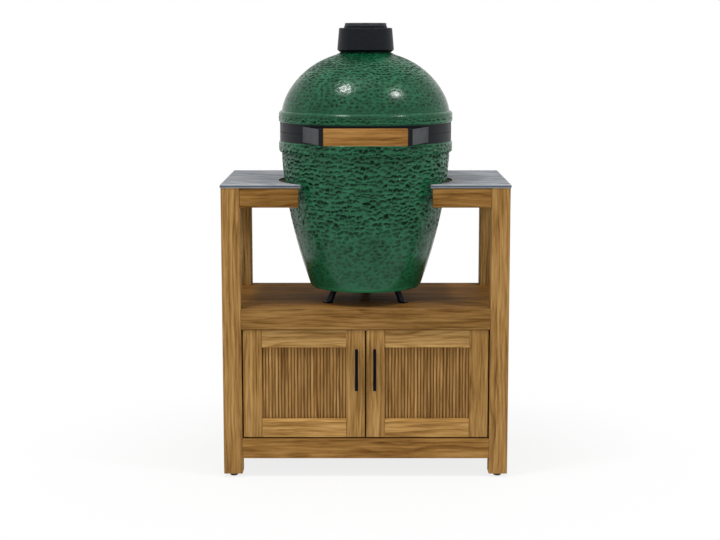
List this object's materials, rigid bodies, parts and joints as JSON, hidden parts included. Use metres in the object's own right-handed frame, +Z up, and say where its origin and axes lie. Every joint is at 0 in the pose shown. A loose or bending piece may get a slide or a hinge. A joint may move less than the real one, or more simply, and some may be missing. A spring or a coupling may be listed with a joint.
{
  "type": "kamado grill table",
  "caption": "Teak cabinet table with a stone worktop, carrying an egg-shaped ceramic charcoal grill with a hinged lid, vent cap, draft door and cabinet doors that open.",
  "frame": {"origin": "on the floor under the grill's upright axis, which is also the centre of the object's footprint box", "axes": "+Z up, -Y towards the doors and the lid handle, +X to the right seen from the front"},
  "size_m": [0.872, 0.676, 1.379],
  "materials": {
    "teak": "oiled, straight grained",
    "stone": "honed, lightly mottled",
    "green_glaze": "glossy dimpled glaze",
    "fire_clay": "unglazed",
    "black_steel": "satin black powder coat",
    "dark_steel": "satin dark grey",
    "cast_iron": "matte black",
    "brushed_steel": "brushed",
    "felt": "matte felt",
    "black_plastic": "matte"
  },
  "bodies": {
    "table": {"leg_front_left": "teak", "leg_front_right": "teak", "leg_rear_left": "teak", "leg_rear_right": "teak", "top_rail_front_left": "teak", "top_rail_front_right": "teak", "top_rail_left": "teak", "top_rail_right": "teak", "top_rail_rear": "teak", "shelf": "teak", "shelf_rail_front": "teak", "base_rail_front": "teak", "cabinet_floor": "teak", "cabinet_side_left": "teak", "cabinet_side_right": "teak", "cabinet_back": "teak", "worktop": "stone", "door_catch": "black_plastic", "glide_front_left": "black_plastic", "glide_front_right": "black_plastic", "glide_rear_left": "black_plastic", "glide_rear_right": "black_plastic", "left_door_pin_lower": "brushed_steel", "left_door_pin_upper": "brushed_steel", "right_door_pin_lower": "brushed_steel", "right_door_pin_upper": "brushed_steel", "nest": "black_steel", "base_shell": "green_glaze", "rim_gasket": "felt", "band_lower": "black_steel", "hinge_lower_bracket": "black_steel", "hinge_pin": "brushed_steel", "hinge_spring": "brushed_steel", "draft_track": "brushed_steel", "fire_box": "fire_clay", "fire_ring": "fire_clay", "fire_grate": "cast_iron", "cooking_grid": "brushed_steel"},
    "left_door": {"left_door_hinge_stile": "teak", "left_door_meeting_stile": "teak", "left_door_top_rail": "teak", "left_door_bottom_rail": "teak", "left_door_panel": "teak", "left_door_handle": "black_steel"},
    "right_door": {"right_door_hinge_stile": "teak", "right_door_meeting_stile": "teak", "right_door_top_rail": "teak", "right_door_bottom_rail": "teak", "right_door_panel": "teak", "right_door_handle": "black_steel"},
    "lid": {"lid_shell": "green_glaze", "band_upper": "black_steel", "hinge_upper_bracket": "black_steel", "handle_bracket_left": "dark_steel", "handle_bracket_right": "dark_steel", "handle_grip": "teak", "chimney_collar": "cast_iron"},
    "vent_cap": {"vent_cap": "cast_iron"},
    "vent_wheel": {"vent_wheel": "cast_iron"},
    "draft_door": {"draft_door": "brushed_steel"}
  },
  "joints": [
    {"name": "lid_hinge", "type": "hinge", "parent": "table", "child": "lid", "pos_m": [0, 0.2871, 1.05], "axis": [-1, 0, 0], "range_deg": [0, 72]},
    {"name": "vent_cap_swing", "type": "hinge", "parent": "lid", "child": "vent_cap", "pos_m": [0, 0.0725, 1.364], "axis": [0, 0, 1], "range_deg": [0, 150]},
    {"name": "vent_wheel_turn", "type": "hinge", "parent": "vent_cap", "child": "vent_wheel", "pos_m": [0, 0, 1.3735], "axis": [0, 0, 1], "range_deg": [0, 30]},
    {"name": "draft_door_slide", "type": "hinge", "parent": "table", "child": "draft_door", "pos_m": [0, 0, 0.622], "axis": [0, 0, 1], "range_deg": [0, 31]},
    {"name": "left_door_hinge", "type": "hinge", "parent": "table", "child": "left_door", "pos_m": [-0.3585, -0.17125, 0.29], "axis": [0, 0, -1], "range_deg": [0, 105]},
    {"name": "right_door_hinge", "type": "hinge", "parent": "table", "child": "right_door", "pos_m": [0.3585, -0.17125, 0.29], "axis": [0, 0, 1], "range_deg": [0, 105]}
  ]
}
